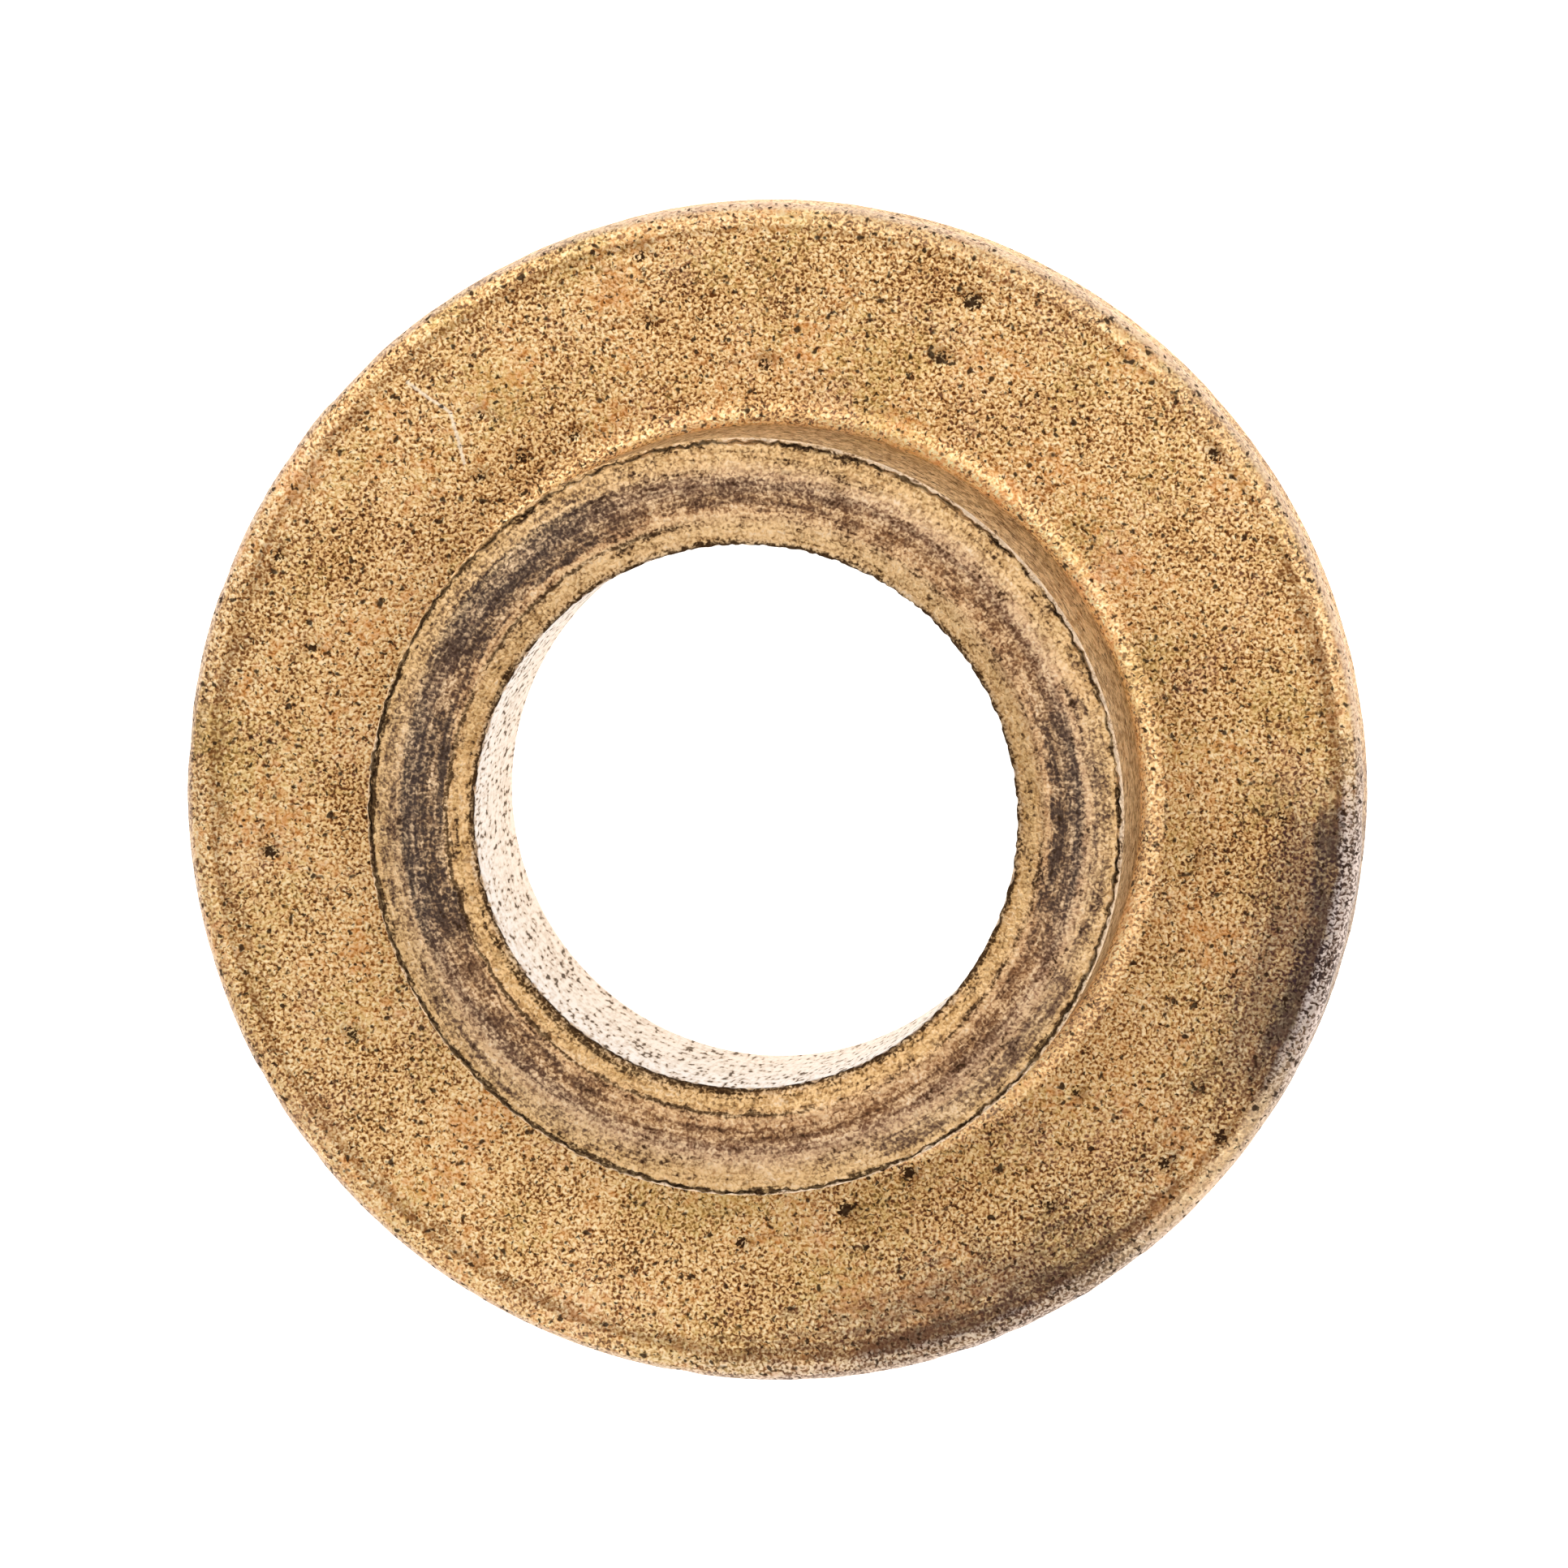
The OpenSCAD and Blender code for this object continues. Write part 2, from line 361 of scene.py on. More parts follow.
def surfaceFields(tree, s):  # the coordinates and the patterns that all the finishes share, in millimetres
    at = SimpleNamespace(tree=tree)
    place = put(tree, "ShaderNodeTexCoord", out="Object")
    at.spot = put(tree, "ShaderNodeVectorMath", {0: place, "Scale": 1 / mm}, operation="SCALE")
    axes = put(tree, "ShaderNodeSeparateXYZ", [at.spot]).node.outputs
    at.flat = put(tree, "ShaderNodeCombineXYZ", [axes["X"], axes["Y"], 0.0])
    at.radius = put(tree, "ShaderNodeVectorMath", [at.flat], out="Value", operation="LENGTH")
    at.bearing = put(tree, "ShaderNodeMath", [axes["Y"], axes["X"]], operation="ARCTAN2")
    halfTurn = 0.5  # bearings run from 0 to 1 in a whole turn
    at.bearing = put(tree, "ShaderNodeMath", [at.bearing, halfTurn / math.pi, halfTurn],
                     operation="MULTIPLY_ADD")
    at.high = axes["Z"]
    at.stroke = put(tree, "ShaderNodeTexNoise", {"Vector": at.spot, "Scale": 1 / s["stroke"], "Detail": 0.0,
                                                 "Distortion": s["strokeBend"]})
    at.pore = put(tree, "ShaderNodeTexNoise", {"Vector": at.spot, "Scale": 1 / s["pore"], "Detail": 1.0,
                                               "Distortion": s["poreBend"]})
    at.cloud = put(tree, "ShaderNodeTexNoise", {"Vector": at.spot, "Scale": 1 / s["cloud"], "Detail": 5.0,
                                                "Roughness": s["cloudRough"]})
    at.drift = put(tree, "ShaderNodeMath", [at.cloud, noiseMid], operation="SUBTRACT")
    at.fray = put(tree, "ShaderNodeMath", [at.pore, noiseMid], operation="SUBTRACT")

    # Streaks that run round the axis
    across = put(tree, "ShaderNodeMath", [at.radius, 1 / s["streakAcross"]], operation="MULTIPLY")
    lane = put(tree, "ShaderNodeVectorMath", {0: at.flat, "Scale": 1 / s["streakAlong"]}, operation="SCALE")
    rise = put(tree, "ShaderNodeCombineXYZ", [0.0, 0.0, across])
    lane = put(tree, "ShaderNodeVectorMath", [lane, rise], operation="ADD")
    at.streak = put(tree, "ShaderNodeTexNoise", {"Vector": lane, "Scale": 1.0, "Detail": 3.0,
                                                 "Roughness": s["streakRough"]})

    # Blots for stains: clouds, streaks and grain together, about 0.5 in the mean
    blot = put(tree, "ShaderNodeMath", [at.cloud, s["blotCloud"]], operation="MULTIPLY")
    blot = put(tree, "ShaderNodeMath", [at.streak, s["blotStreak"], blot], operation="MULTIPLY_ADD")
    blot = put(tree, "ShaderNodeMath", [at.stroke, s["blotStroke"], blot], operation="MULTIPLY_ADD")
    at.blot = put(tree, "ShaderNodeMath", [blot, s["blotShift"]], operation="SUBTRACT")
    at.pale = put(tree, "ShaderNodeMath", [1.0, at.blot], operation="SUBTRACT")
    return at


def grainColour(at, s):  # short strokes of grain, tinted from grain to grain and from patch to patch
    tree = at.tree
    patch = put(tree, "ShaderNodeTexNoise", {"Vector": at.spot, "Scale": 1 / s["patch"], "Detail": 1.0},
                out="Color")
    patch = put(tree, "ShaderNodeSeparateColor", [patch]).node.outputs
    sway = put(tree, "ShaderNodeMath", [patch["Red"], noiseMid], operation="SUBTRACT")
    tone = put(tree, "ShaderNodeMath", [sway, s["patchSway"], at.stroke], operation="MULTIPLY_ADD")
    at.tone = put(tree, "ShaderNodeMath", [at.drift, -s["cloudSway"], tone], operation="MULTIPLY_ADD")
    colour = put(tree, "ShaderNodeValToRGB", [at.tone], stops=[(p, linear(c)) for p, c in s["stops"]])
    tint = put(tree, "ShaderNodeTexNoise", {"Vector": at.spot, "Scale": 1 / s["tint"], "Detail": 0.0},
               out="Color")
    tint = put(tree, "ShaderNodeSeparateColor", [tint]).node.outputs
    for channel, code, most in s["tints"]:
        share = put(tree, "ShaderNodeMath", [patch[channel], s["tintPatch"], tint[channel]],
                    operation="MULTIPLY_ADD")
        share = put(tree, "ShaderNodeMapRange", [share, *s["tintRange"], 0.0, most])
        colour = put(tree, "ShaderNodeMix", {0: share, 6: colour, 7: linear(code)}, **colourMix)
    return colour


flangeWear = {
    # Bearing in degrees, half spread and strength
    # The first lobes are painted light: the flange is made lighter on the side where the light falls
    "lights": [(80, 90, 1.0), (250, 40, 0.4)], "lift": 0.1, "base": 1.03,
    "browned": [(-38, 75, 0.12)], "brown": "#8E5A2C",
    "soaks": [(-17, 24, 1.0), (-68, 28, 0.78), (-40, 60, 0.36)],
    "soakFrom": 2.5, "soakFull": 0.9, "soakColour": "#483439", "soakFray": (0.5, 0.56),  # softness and most
}


def flangeColour(at, colour, s):  # painted light, lighter on one side; darker where oil has soaked in from the rim
    tree = at.tree
    # Painted light: the colour is lifted on the lit side
    paintedLight = stainRound(at, s["lights"])
    lift = put(tree, "ShaderNodeMath", [paintedLight, s["lift"], s["base"]], operation="MULTIPLY_ADD")
    colour = put(tree, "ShaderNodeVectorMath", {0: colour, "Scale": lift}, operation="SCALE")
    browned = stainRound(at, s["browned"])
    colour = put(tree, "ShaderNodeMix", {0: browned, 6: colour, 7: linear(s["brown"])}, **colourMix)
    edge = part["flangeR"]
    soaked = put(tree, "ShaderNodeMapRange", [at.radius, edge - s["soakFrom"],
                                              edge - s["soakFull"], 0.0, 1.0], **even)
    soak = put(tree, "ShaderNodeMath", [stainRound(at, s["soaks"]), soaked], operation="MULTIPLY")
    return stained(at, colour, soak, at.blot, s["soakFray"], linear(s["soakColour"]))


rimWear = {
    # Offsets from the rim's inner edge, and depths below the flange's face
    "ragged": 0.3, "onRim": (-0.08, 0.06), "sideDown": (0.7, 0.3), "sideShare": 0.25,
    "pale": "#FBDDB2", "paleShare": 0.08, "rubs": [(-40, 20, 0.36), (50, 70, 0.1)], "rimLift": 0.12,
    "edgeColour": "#B9A596", "edgeW": 0.15, "edgeShare": 0.6,
    # Speckle where the rim is rubbed through its stain
    "speckle": [(0.34, "#2A2326"), (0.47, "#776663"), (0.6, "#D8C9C3")], "speckleShare": 0.8,
    "speckles": [(-13, 22, 0.9), (-63, 20, 0.5), (-84, 24, 0.4), (165, 30, 0.14)],
    # The ring of old oil inside the rim
    "stains": [(-15, 26, 1.0), (-65, 30, 0.8), (-40, 30, 0.42), (12, 26, 0.48), (-92, 28, 0.62),
               (180, 50, 0.5), (130, 40, 0.4), (235, 45, 0.46)],
    "inwards": [(200, 90, 0.12)],  # where the ring lies further in, and how far in millimetres
    "ringW": 0.36, "ringSpread": 0.3, "ringEnd": 0.1, "ringFade": 0.16, "ringFray": (0.5, 0.68),
    "base": 0.14, "power": 0.85, "ringColour": "#80512A", "soot": "#2A242C", "sootRange": (0.4, 0.9),
    "lineShare": 0.25, "lineWaver": 0.12, "lineZone": (-0.11, -0.02, 0.02, 0.08),
}


def rimColour(at, colour, s):  # rubbed pale, with a dark ring of old oil inside it
    tree = at.tree
    rimR = part["flangeR"] - bushing["rimFrontR"]
    ragged = put(tree, "ShaderNodeMath", [at.drift, s["ragged"], at.radius], operation="MULTIPLY_ADD")
    onRim = put(tree, "ShaderNodeMapRange", [ragged, *(rimR + d for d in s["onRim"]), 0.0, 1.0])
    rolled = put(tree, "ShaderNodeMapRange", [at.high, *(part["flangeT"] - d for d in s["sideDown"]),
                                              s["sideShare"], 1.0])
    onRim = put(tree, "ShaderNodeMath", [onRim, rolled], operation="MULTIPLY")
    share = put(tree, "ShaderNodeMath", [stainRound(at, s["rubs"]), s["paleShare"]], operation="ADD")
    share = put(tree, "ShaderNodeMath", [share, onRim], operation="MULTIPLY")
    colour = put(tree, "ShaderNodeMix", {0: share, 6: colour, 7: linear(s["pale"])}, **colourMix)
    lift = put(tree, "ShaderNodeMath", [onRim, s["rimLift"], 1.0], operation="MULTIPLY_ADD")
    colour = put(tree, "ShaderNodeVectorMath", {0: colour, "Scale": lift}, operation="SCALE")
    edge = put(tree, "ShaderNodeMapRange", [at.radius, part["flangeR"] - s["edgeW"],
                                            part["flangeR"] - s["edgeW"] / 2, 0.0, s["edgeShare"]])
    edge = put(tree, "ShaderNodeMath", [edge, rolled], operation="MULTIPLY")
    colour = put(tree, "ShaderNodeMix", {0: edge, 6: colour, 7: linear(s["edgeColour"])}, **colourMix)

    # A darker brown line inside the rim, along the groove
    lined = put(tree, "ShaderNodeMath", [at.drift, s["lineWaver"], at.radius], operation="MULTIPLY_ADD")
    grooveR = part["flangeR"] - bushing["grooveIn"]
    lined = between(tree, lined, *(grooveR + d for d in s["lineZone"]))
    lined = put(tree, "ShaderNodeMath", [lined, s["lineShare"]], operation="MULTIPLY")
    colour = put(tree, "ShaderNodeMix", {0: lined, 6: colour, 7: linear(s["ringColour"])}, **colourMix)

    # The ring reaches further in where it is stronger
    stain = stainRound(at, s["stains"])
    ragged = put(tree, "ShaderNodeMath", [ragged, stainRound(at, s["inwards"])], operation="ADD")
    start = put(tree, "ShaderNodeMath", [stain, -s["ringSpread"], rimR - s["ringW"]],
                operation="MULTIPLY_ADD")
    full = put(tree, "ShaderNodeMath", [start, s["ringW"]], operation="ADD")
    rise = put(tree, "ShaderNodeMapRange", [ragged, start, full, 0.0, 1.0], **even)
    fade = put(tree, "ShaderNodeMath", [stain, s["ringEnd"], rimR - s["ringEnd"]],
               operation="MULTIPLY_ADD")
    gone = put(tree, "ShaderNodeMath", [fade, s["ringFade"]], operation="ADD")
    fall = put(tree, "ShaderNodeMapRange", [ragged, fade, gone, 1.0, 0.0], **even)
    ring = put(tree, "ShaderNodeMath", [rise, fall], operation="MULTIPLY")
    power = put(tree, "ShaderNodeMath", [stain, s["power"], s["base"]], operation="MULTIPLY_ADD")
    cover = put(tree, "ShaderNodeMath", [ring, power], operation="MULTIPLY")
    sooted = put(tree, "ShaderNodeMapRange", [stain, *s["sootRange"], 0.0, 1.0])
    ringColour = put(tree, "ShaderNodeMix", {0: sooted, 6: linear(s["ringColour"]),
                                             7: linear(s["soot"])}, **colourMix)
    colour = stained(at, colour, cover, at.blot, s["ringFray"], ringColour)

    # White and black speckle on the rim itself
    speckle = put(tree, "ShaderNodeValToRGB", [at.tone], stops=[(p, linear(c)) for p, c in s["speckle"]])
    share = put(tree, "ShaderNodeMath", [stainRound(at, s["speckles"]), onRim], operation="MULTIPLY")
    share = put(tree, "ShaderNodeMath", [share, s["speckleShare"]], operation="MULTIPLY")
    return put(tree, "ShaderNodeMix", {0: share, 6: colour, 7: speckle}, **colourMix)


wallFinish = {
    # Where the root fillet gets a painted highlight, partly rubbed clean: bearing, half spread and strength
    "lights": [(0, 70, 0.85), (315, 70, 1.0), (270, 60, 0.7), (45, 60, 0.8), (100, 50, 0.5),
               (200, 70, 0.25)],
    "lift": 0.5, "rub": 0.2, "rubbed": "#F6DDB4", "filletW": 0.24, "filletFade": 0.42, "footH": 0.6,
    # Depths below the faces, and offsets from the wall and from the bore
    "frontDown": (0.4, 0.2), "wallZone": (0.01, 0.06), "boreZone": (0.01, 0.03), "deepDown": (0.6, 3.0),
    # Waves in each millimetre, across and along the axis
    "ribs": (5.5, 5.5, 3.4), "ribRange": (0.41, 0.59),
    "wall": "#CDB08A", "wallDark": "#6A4C33", "share": 0.62,
    # The bore's pale grey-white is a painted reflection of the bright floor over the bronze; its smudges are
    # its own
    "bore": "#D3CDC7", "boreDeep": "#D3C7B6", "boreSmudge": "#A98250", "boreShare": 0.92,
    "smudge": 0.75, "smudgeRange": (0.36, 0.62),
    "scored": (11.0, 11.0, 2.2), "clump": 0.8,  # specks in the bore, drawn out along the axis
}


def wallColour(at, colour, s):  # the root fillet with a painted highlight, the burnished sleeve wall, and the bore painted near-white as a painted reflection
    tree = at.tree
    sleeveR, boreR, flangeT = part["sleeveR"], part["boreR"], part["flangeT"]
    # Painted highlight on the root fillet, partly where it is rubbed clean: lifted and mixed towards cream
    foot = put(tree, "ShaderNodeMapRange", [at.high, flangeT, flangeT + s["footH"], 1.0, 0.0], **even)
    front = put(tree, "ShaderNodeMapRange", [at.high, *(flangeT - d for d in s["frontDown"]), 0.0, 1.0])
    root = put(tree, "ShaderNodeMapRange", [at.radius, sleeveR + s["filletW"],
                                            sleeveR + s["filletFade"], 1.0, 0.0], **even)
    root = put(tree, "ShaderNodeMath", [root, foot], operation="MULTIPLY")
    root = put(tree, "ShaderNodeMath", [root, front], operation="MULTIPLY")
    root = put(tree, "ShaderNodeMath", [root, stainRound(at, s["lights"])], operation="MULTIPLY")
    lift = put(tree, "ShaderNodeMath", [root, s["lift"], 1.0], operation="MULTIPLY_ADD")
    colour = put(tree, "ShaderNodeVectorMath", {0: colour, "Scale": lift}, operation="SCALE")
    rubbed = put(tree, "ShaderNodeMath", [root, s["rub"]], operation="MULTIPLY")
    colour = put(tree, "ShaderNodeMix", {0: rubbed, 6: colour, 7: linear(s["rubbed"])}, **colourMix)

    ribs = put(tree, "ShaderNodeVectorMath", [at.spot, s["ribs"]], operation="MULTIPLY")
    ribs = put(tree, "ShaderNodeTexNoise", {"Vector": ribs, "Scale": 1.0, "Detail": 1.0})
    ribs = put(tree, "ShaderNodeMapRange", [ribs, *s["ribRange"], 0.0, 1.0])
    burnished = put(tree, "ShaderNodeMix", {0: ribs, 6: linear(s["wallDark"]),
                                            7: linear(s["wall"])}, **colourMix)
    wall = put(tree, "ShaderNodeMapRange", [at.radius, *(sleeveR + d for d in s["wallZone"]),
                                            s["share"], 0.0])
    above = put(tree, "ShaderNodeMath", [1.0, foot], operation="SUBTRACT")
    wall = put(tree, "ShaderNodeMath", [wall, above], operation="MULTIPLY")
    colour = put(tree, "ShaderNodeMix", {0: wall, 6: colour, 7: burnished}, **colourMix)

    # The bore is painted near-white, a painted reflection of the bright floor; the brown smudges and specks
    # are its own
    at.inBore = put(tree, "ShaderNodeMapRange", [at.radius, *(boreR + d for d in s["boreZone"]), 1.0, 0.0])
    scored = put(tree, "ShaderNodeVectorMath", [at.spot, s["scored"]], operation="MULTIPLY")
    at.speck = put(tree, "ShaderNodeTexNoise", {"Vector": scored, "Scale": 1.0, "Detail": 1.0})
    at.speck = put(tree, "ShaderNodeMath", [at.drift, -s["clump"], at.speck], operation="MULTIPLY_ADD")
    smudge = put(tree, "ShaderNodeMapRange", [at.speck, *s["smudgeRange"], s["smudge"], 0.0])
    deep = put(tree, "ShaderNodeMapRange", [at.high, *(part["endZ"] - d for d in s["deepDown"]), 0.0, 1.0])
    bored = put(tree, "ShaderNodeMix", {0: deep, 6: linear(s["bore"]), 7: linear(s["boreDeep"])},
                **colourMix)
    bored = put(tree, "ShaderNodeMix", {0: smudge, 6: bored, 7: linear(s["boreSmudge"])}, **colourMix)
    share = put(tree, "ShaderNodeMath", [at.inBore, s["boreShare"]], operation="MULTIPLY")
    return put(tree, "ShaderNodeMix", {0: share, 6: colour, 7: bored}, **colourMix)


endWear = {
    # Rings that the sizing punch left: radius and colour
    "stops": [(5.0, "#5A3A22"), (5.07, "#A8784A"), (5.14, "#E2AE6B"), (5.35, "#F0C07C"), (5.48, "#E2AF77"),
              (5.58, "#D3A276"), (5.72, "#B88158"), (5.9, "#B58056"), (6.14, "#B28B76"), (6.32, "#DAB18E"),
              (6.45, "#E2B98A"), (6.62, "#E9BB7E"), (6.84, "#E7BA7C")],
    "ringShare": 0.48, "waver": 0.3, "streakWaver": 0.16,
    # Each fray is the softness of a stain's blots and the most that it covers
    "cream": "#F3CF9E", "creamCover": 0.25, "creamFray": (0.4, 0.6), "shines": [(85, 80, 0.3)],
    "shineZone": (0.5, 0.75), "umber": "#6B4626", "umberCover": 0.3, "umberFray": (0.35, 0.75),
    # Soot on the land between the bevels: bearing, half spread and cover
    "soots": [(180, 50, 0.72), (135, 45, 0.68), (0, 45, 0.68), (225, 40, 0.56), (90, 45, 0.54),
              (45, 45, 0.46), (315, 45, 0.48), (270, 45, 0.46)],
    "wide": [(180, 48, 0.8), (135, 42, 0.8), (225, 38, 0.4), (0, 40, 0.3), (90, 40, 0.3)], "landWider": 0.24,
    "outer": [(130, 45, 1.0)], "landOut": 0.16, "landMid": 5.95, "landZone": (0.15, 0.35),
    "soot": "#38302F", "sootBrown": "#70492F", "sootThick": (0.35, 0.7), "sootFray": (0.4, 0.88),
    "hazes": [(315, 42, 0.62), (135, 40, 0.4), (0, 36, 0.5), (180, 40, 0.45), (225, 36, 0.5)],
    "haze": "#5F473E", "hazeZone": (-0.66, -0.5, -0.3, -0.1), "hazeFray": (0.35, 0.8),
    # Brown borders of the golden ring round the bore
    "borders": [(200, 75, 0.9), (260, 50, 0.75), (330, 60, 0.5), (130, 40, 0.75), (60, 40, 0.4)],
    "borderZone": (5.41, 5.5, 5.5, 5.59), "borderFray": (0.3, 0.8),
    "torn": "#3A2614", "tornW": 0.2, "tornCover": 0.85, "tornFray": (0.25, 0.9),
    "grimes": [(232, 50, 0.6), (275, 40, 0.45), (320, 40, 0.3)], "grimeZone": (0.0, 0.04, 0.14, 0.34),
    # The burr's pale colour is a painted highlight along its edge
    "lip": "#DEC7AE", "lipFray": (0.35, 0.8), "lips": [(30, 100, 0.7), (280, 80, 0.66), (190, 40, 0.5)],
    "lipRange": (0.5, 0.9),
    # Beside the crevice: caked dirt, with painted shade where the dark runs along its edge
    "cakes": [(225, 60, 0.54), (270, 60, 0.6), (315, 50, 0.68), (180, 50, 0.6), (140, 40, 0.34),
              (90, 50, 0.36), (10, 60, 0.5)],
    "cakeZone": (-0.2, -0.1, -0.07, -0.02), "cakeFray": (0.25, 0.85), "faceDown": (0.26, 0.2),
}


def endColour(at, colour, s):  # sleeve end: golden bevels, sooty land between them, pale burr
    tree = at.tree
    boreR, sleeveR, endZ = part["boreR"], part["sleeveR"], part["endZ"]
    lanes = put(tree, "ShaderNodeMath", [at.streak, noiseMid], operation="SUBTRACT")
    endR = put(tree, "ShaderNodeMath", [at.drift, s["waver"], at.radius], operation="MULTIPLY_ADD")
    endR = put(tree, "ShaderNodeMath", [lanes, s["streakWaver"], endR], operation="MULTIPLY_ADD")
    ringAt = put(tree, "ShaderNodeMapRange", [endR, boreR, sleeveR, 0.0, 1.0])
    stops = [((r - boreR) / (sleeveR - boreR), linear(c)) for r, c in s["stops"]]
    rings = put(tree, "ShaderNodeValToRGB", [ringAt], stops=stops)
    rings = put(tree, "ShaderNodeMix", {0: s["ringShare"], 6: colour, 7: rings}, **colourMix)
    inner = put(tree, "ShaderNodeMapRange", [endR, *(boreR + d for d in s["shineZone"]), 1.0, 0.0], **even)
    worn = put(tree, "ShaderNodeMath", [stainRound(at, s["shines"]), inner], operation="MULTIPLY")
    worn = put(tree, "ShaderNodeMath", [worn, s["creamCover"]], operation="ADD")
    rings = stained(at, rings, worn, at.pale, s["creamFray"], linear(s["cream"]))
    rings = stained(at, rings, s["umberCover"], at.blot, s["umberFray"], linear(s["umber"]))

    # Haze on the outer bevel
    zone = between(tree, endR, *(sleeveR + d for d in s["hazeZone"]))
    haze = put(tree, "ShaderNodeMath", [stainRound(at, s["hazes"]), zone], operation="MULTIPLY")
    rings = stained(at, rings, haze, at.blot, s["hazeFray"], linear(s["haze"]))

    # Soot on the land, brown where it is thin
    sooty = stainRound(at, s["soots"])
    mid = put(tree, "ShaderNodeMath", [stainRound(at, s["outer"]), s["landOut"], s["landMid"]],
              operation="MULTIPLY_ADD")
    off = put(tree, "ShaderNodeMath", [endR, mid], operation="SUBTRACT")
    off = put(tree, "ShaderNodeMath", [off], operation="ABSOLUTE")
    off = put(tree, "ShaderNodeMath", [stainRound(at, s["wide"]), -s["landWider"], off],
              operation="MULTIPLY_ADD")
    land = put(tree, "ShaderNodeMapRange", [off, *s["landZone"], 1.0, 0.0], **even)
    cover = put(tree, "ShaderNodeMath", [land, sooty], operation="MULTIPLY")
    thick = put(tree, "ShaderNodeMapRange", [sooty, *s["sootThick"], 0.0, 1.0])
    sootColour = put(tree, "ShaderNodeMix", {0: thick, 6: linear(s["sootBrown"]),
                                             7: linear(s["soot"])}, **colourMix)
    rings = stained(at, rings, cover, at.blot, s["sootFray"], sootColour)

    # Brown borders and the torn edge of the bore
    zone = between(tree, endR, *s["borderZone"])
    border = put(tree, "ShaderNodeMath", [stainRound(at, s["borders"]), zone], operation="MULTIPLY")
    rings = stained(at, rings, border, at.blot, s["borderFray"], linear(s["torn"]))
    torn = put(tree, "ShaderNodeMapRange", [at.radius, boreR, boreR + s["tornW"], s["tornCover"], 0.0])
    grimed = between(tree, endR, *(boreR + d for d in s["grimeZone"]))
    grimed = put(tree, "ShaderNodeMath", [grimed, stainRound(at, s["grimes"])], operation="MULTIPLY")
    torn = put(tree, "ShaderNodeMath", [torn, grimed], operation="MAXIMUM")
    rings = stained(at, rings, torn, at.blot, s["tornFray"], linear(s["torn"]))

    # Dirt caked beside the crevice with painted shade along it, and the pale burr with a painted highlight
    # along its edge
    cakedAndShaded = between(tree, endR, *(sleeveR + d for d in s["cakeZone"]))
    cakedAndShaded = put(tree, "ShaderNodeMath", [cakedAndShaded, stainRound(at, s["cakes"])], operation="MULTIPLY")
    rings = stained(at, rings, cakedAndShaded, at.blot, s["cakeFray"], linear(s["torn"]))
    # Painted highlight: the burr is paled along its edge
    lip = put(tree, "ShaderNodeAttribute", out="Fac", attribute_name="lip")
    lip = put(tree, "ShaderNodeMapRange", [lip, *s["lipRange"], 0.0, 1.0])
    lip = put(tree, "ShaderNodeMath", [lip, stainRound(at, s["lips"])], operation="MULTIPLY")
    rings = stained(at, rings, lip, at.pale, s["lipFray"], linear(s["lip"]))
    at.endFace = put(tree, "ShaderNodeMapRange", [at.high, *(endZ - d for d in s["faceDown"]), 0.0, 1.0])
    return put(tree, "ShaderNodeMix", {0: at.endFace, 6: colour, 7: rings}, **colourMix)


# A hairline scratch on the flange: where it runs, in millimetres
hairline = {
    "points": [(-6.80, 7.62), (-6.46, 7.37), (-6.01, 7.07), (-5.89, 6.67), (-5.75, 6.13)],
    "colour": "#F0DDC2", "core": 0.018, "width": 0.045, "fray": 0.06, "share": 0.9,
}


def hairlineColour(at, colour, s):  # pale along the scratch
    tree = at.tree
    near = 1.0  # further off than the scratch shows
    for start, end in zip(s["points"], s["points"][1:]):
        begin = Vector((*start, part["flangeT"]))
        reach = Vector((*end, part["flangeT"])) - begin
        away = put(tree, "ShaderNodeVectorMath", [at.spot, begin], operation="SUBTRACT")
        along = put(tree, "ShaderNodeVectorMath", [away, reach / reach.length_squared], out="Value",
                    operation="DOT_PRODUCT")
        along = put(tree, "ShaderNodeMath", [along, 0.0], operation="ADD", use_clamp=True)
        foot = put(tree, "ShaderNodeVectorMath", {0: reach, "Scale": along}, operation="SCALE")
        gap = put(tree, "ShaderNodeVectorMath", [away, foot], out="Value", operation="DISTANCE")
        near = put(tree, "ShaderNodeMath", [gap, near], operation="MINIMUM")
    near = put(tree, "ShaderNodeMath", [at.fray, s["fray"], near], operation="MULTIPLY_ADD")
    hair = put(tree, "ShaderNodeMapRange", [near, s["core"], s["width"], s["share"], 0.0])
    return put(tree, "ShaderNodeMix", {0: hair, 6: colour, 7: linear(s["colour"])}, **colourMix)


hollows = {
    "flangePores": 0.92, "endPores": 0.2,
    "boredOpen": 0.28, "boredRim": 0.385, "boredShare": 0.75,
    "pitEdge": 1.0, "pitFray": 1.2, "pitReach": (0.02, 0.1), "pitRange": (0.0, 0.2), "pitShare": 0.95,
    # The crevice is painted dark: painted shade under the overhanging burr, darker on some bearings
    "creviceFray": 2.2, "creviceReach": (0.02, 0.2), "creviceRange": (0.5, 1.1), "creviceShare": 0.75,
    "creviceOpen": [(180, 60, 0.65), (250, 60, 0.8), (90, 50, 0.25), (315, 50, 0.5), (0, 60, 0.25)],
}


